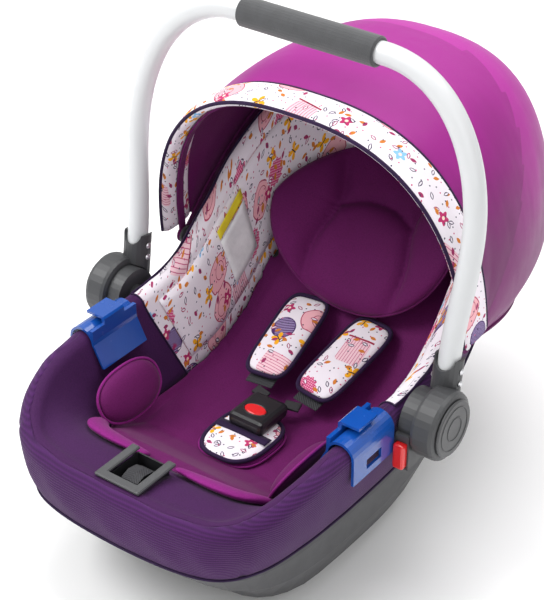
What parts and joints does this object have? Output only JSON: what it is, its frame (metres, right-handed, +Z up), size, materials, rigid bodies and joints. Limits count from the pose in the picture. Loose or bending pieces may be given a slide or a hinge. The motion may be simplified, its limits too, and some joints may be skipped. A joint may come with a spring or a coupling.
{
  "type": "infant car seat",
  "caption": "Rear-facing baby carrier seat with padded bucket, harness, turning carry handle and folding sun canopy.",
  "frame": {"origin": "middle of the whole outline's footprint, on the ground that the rocker base stands on", "axes": "+X to the child's left, +Y towards the head end and the folded canopy, +Z up"},
  "size_m": [0.4736, 0.6858, 0.5633],
  "materials": {
    "shell_plastic": "fine texture",
    "trim_plastic": "satin",
    "black_plastic": "satin",
    "foam_grip": "soft foam",
    "handle_metal": "satin white",
    "steel": "bright",
    "red_plastic": "gloss",
    "blue_plastic": "gloss",
    "cover_mesh": "ribbed mesh",
    "insert_fabric": "soft knit",
    "canopy_satin": "satin weave",
    "printed_fabric": "printed cotton",
    "webbing": "woven webbing"
  },
  "bodies": {
    "shell": {"adjuster_bezel": "trim_plastic", "adjuster_pin": "steel", "adjuster_strap": "webbing", "adjuster_tray": "black_plastic", "belt_guide_left": "blue_plastic", "belt_guide_right": "blue_plastic", "buckle_housing": "black_plastic", "buckle_tongue_left": "black_plastic", "buckle_tongue_right": "black_plastic", "button_spring_left": "steel", "button_spring_right": "steel", "canopy_bracket_left": "trim_plastic", "canopy_bracket_right": "trim_plastic", "canopy_fabric": "canopy_satin", "canopy_pin_left": "steel", "canopy_pin_right": "steel", "carrier_shell": "shell_plastic", "crotch_pad": "printed_fabric", "crotch_pad_backing": "cover_mesh", "crotch_strap": "webbing", "harness_yoke": "steel", "head_pillow_cushion": "insert_fabric", "head_pillow_ring": "insert_fabric", "hub_housing_left": "shell_plastic", "hub_housing_right": "shell_plastic", "pivot_bolt_left": "steel", "pivot_bolt_right": "steel", "seat_cover": "cover_mesh", "seat_insert": "insert_fabric", "seat_pan": "black_plastic", "shoulder_pad_left": "printed_fabric", "shoulder_pad_right": "printed_fabric", "shoulder_strap_left": "webbing", "shoulder_strap_right": "webbing", "side_liner": "printed_fabric", "thigh_wing_left": "insert_fabric", "thigh_wing_right": "insert_fabric"},
    "handle": {"handle_tube": "handle_metal", "handle_grip": "foam_grip", "handle_socket_left": "shell_plastic", "hub_cap_left": "trim_plastic", "lock_gear_left": "black_plastic", "rivet_left_lower": "steel", "rivet_left_upper": "steel", "handle_socket_right": "shell_plastic", "hub_cap_right": "trim_plastic", "lock_gear_right": "black_plastic", "rivet_right_lower": "steel", "rivet_right_upper": "steel"},
    "release_button_left": {"release_button_left": "red_plastic"},
    "release_button_right": {"release_button_right": "red_plastic"},
    "buckle_button": {"buckle_button": "red_plastic"},
    "adjuster_lever": {"adjuster_lever": "trim_plastic"},
    "canopy_front": {"canopy_band": "printed_fabric", "canopy_front_bow": "black_plastic"},
    "canopy_middle": {"canopy_mid_bow": "black_plastic"}
  },
  "joints": [
    {"name": "handle_turn", "type": "hinge", "parent": "shell", "child": "handle", "pos_m": [0, -0.07435, 0.2], "axis": [1, 0, 0], "range_deg": [0, 100]},
    {"name": "canopy_fold", "type": "hinge", "parent": "shell", "child": "canopy_front", "pos_m": [0, 0.01765, 0.235], "axis": [-1, 0, 0], "range_deg": [0, 34], "deforming": ["canopy_fabric"]},
    {"name": "canopy_middle_fold", "type": "hinge", "parent": "shell", "child": "canopy_middle", "pos_m": [0, 0.01765, 0.235], "axis": [-1, 0, 0], "range_deg": [0, 13.6]},
    {"name": "buckle_press", "type": "slide", "parent": "shell", "child": "buckle_button", "axis": [0, 0, -1], "range_m": [0, 0.003], "stiffness_N_per_m": 900},
    {"name": "adjuster_press", "type": "hinge", "parent": "shell", "child": "adjuster_lever", "pos_m": [0, -0.27535, 0.144], "axis": [1, 0, 0], "range_deg": [0, 10], "stiffness_Nm_per_rad": 0.2},
    {"name": "release_press_left", "type": "slide", "parent": "shell", "child": "release_button_left", "axis": [0, 1, 0], "range_m": [0, 0.004], "stiffness_N_per_m": 600, "deforming": ["button_spring_left"]},
    {"name": "release_press_right", "type": "slide", "parent": "shell", "child": "release_button_right", "axis": [0, 1, 0], "range_m": [0, 0.004], "stiffness_N_per_m": 600, "deforming": ["button_spring_right"]}
  ],
  "couplings": [
    {"joint": "canopy_middle_fold", "follows": "canopy_fold", "ratio": 0.4}
  ]
}
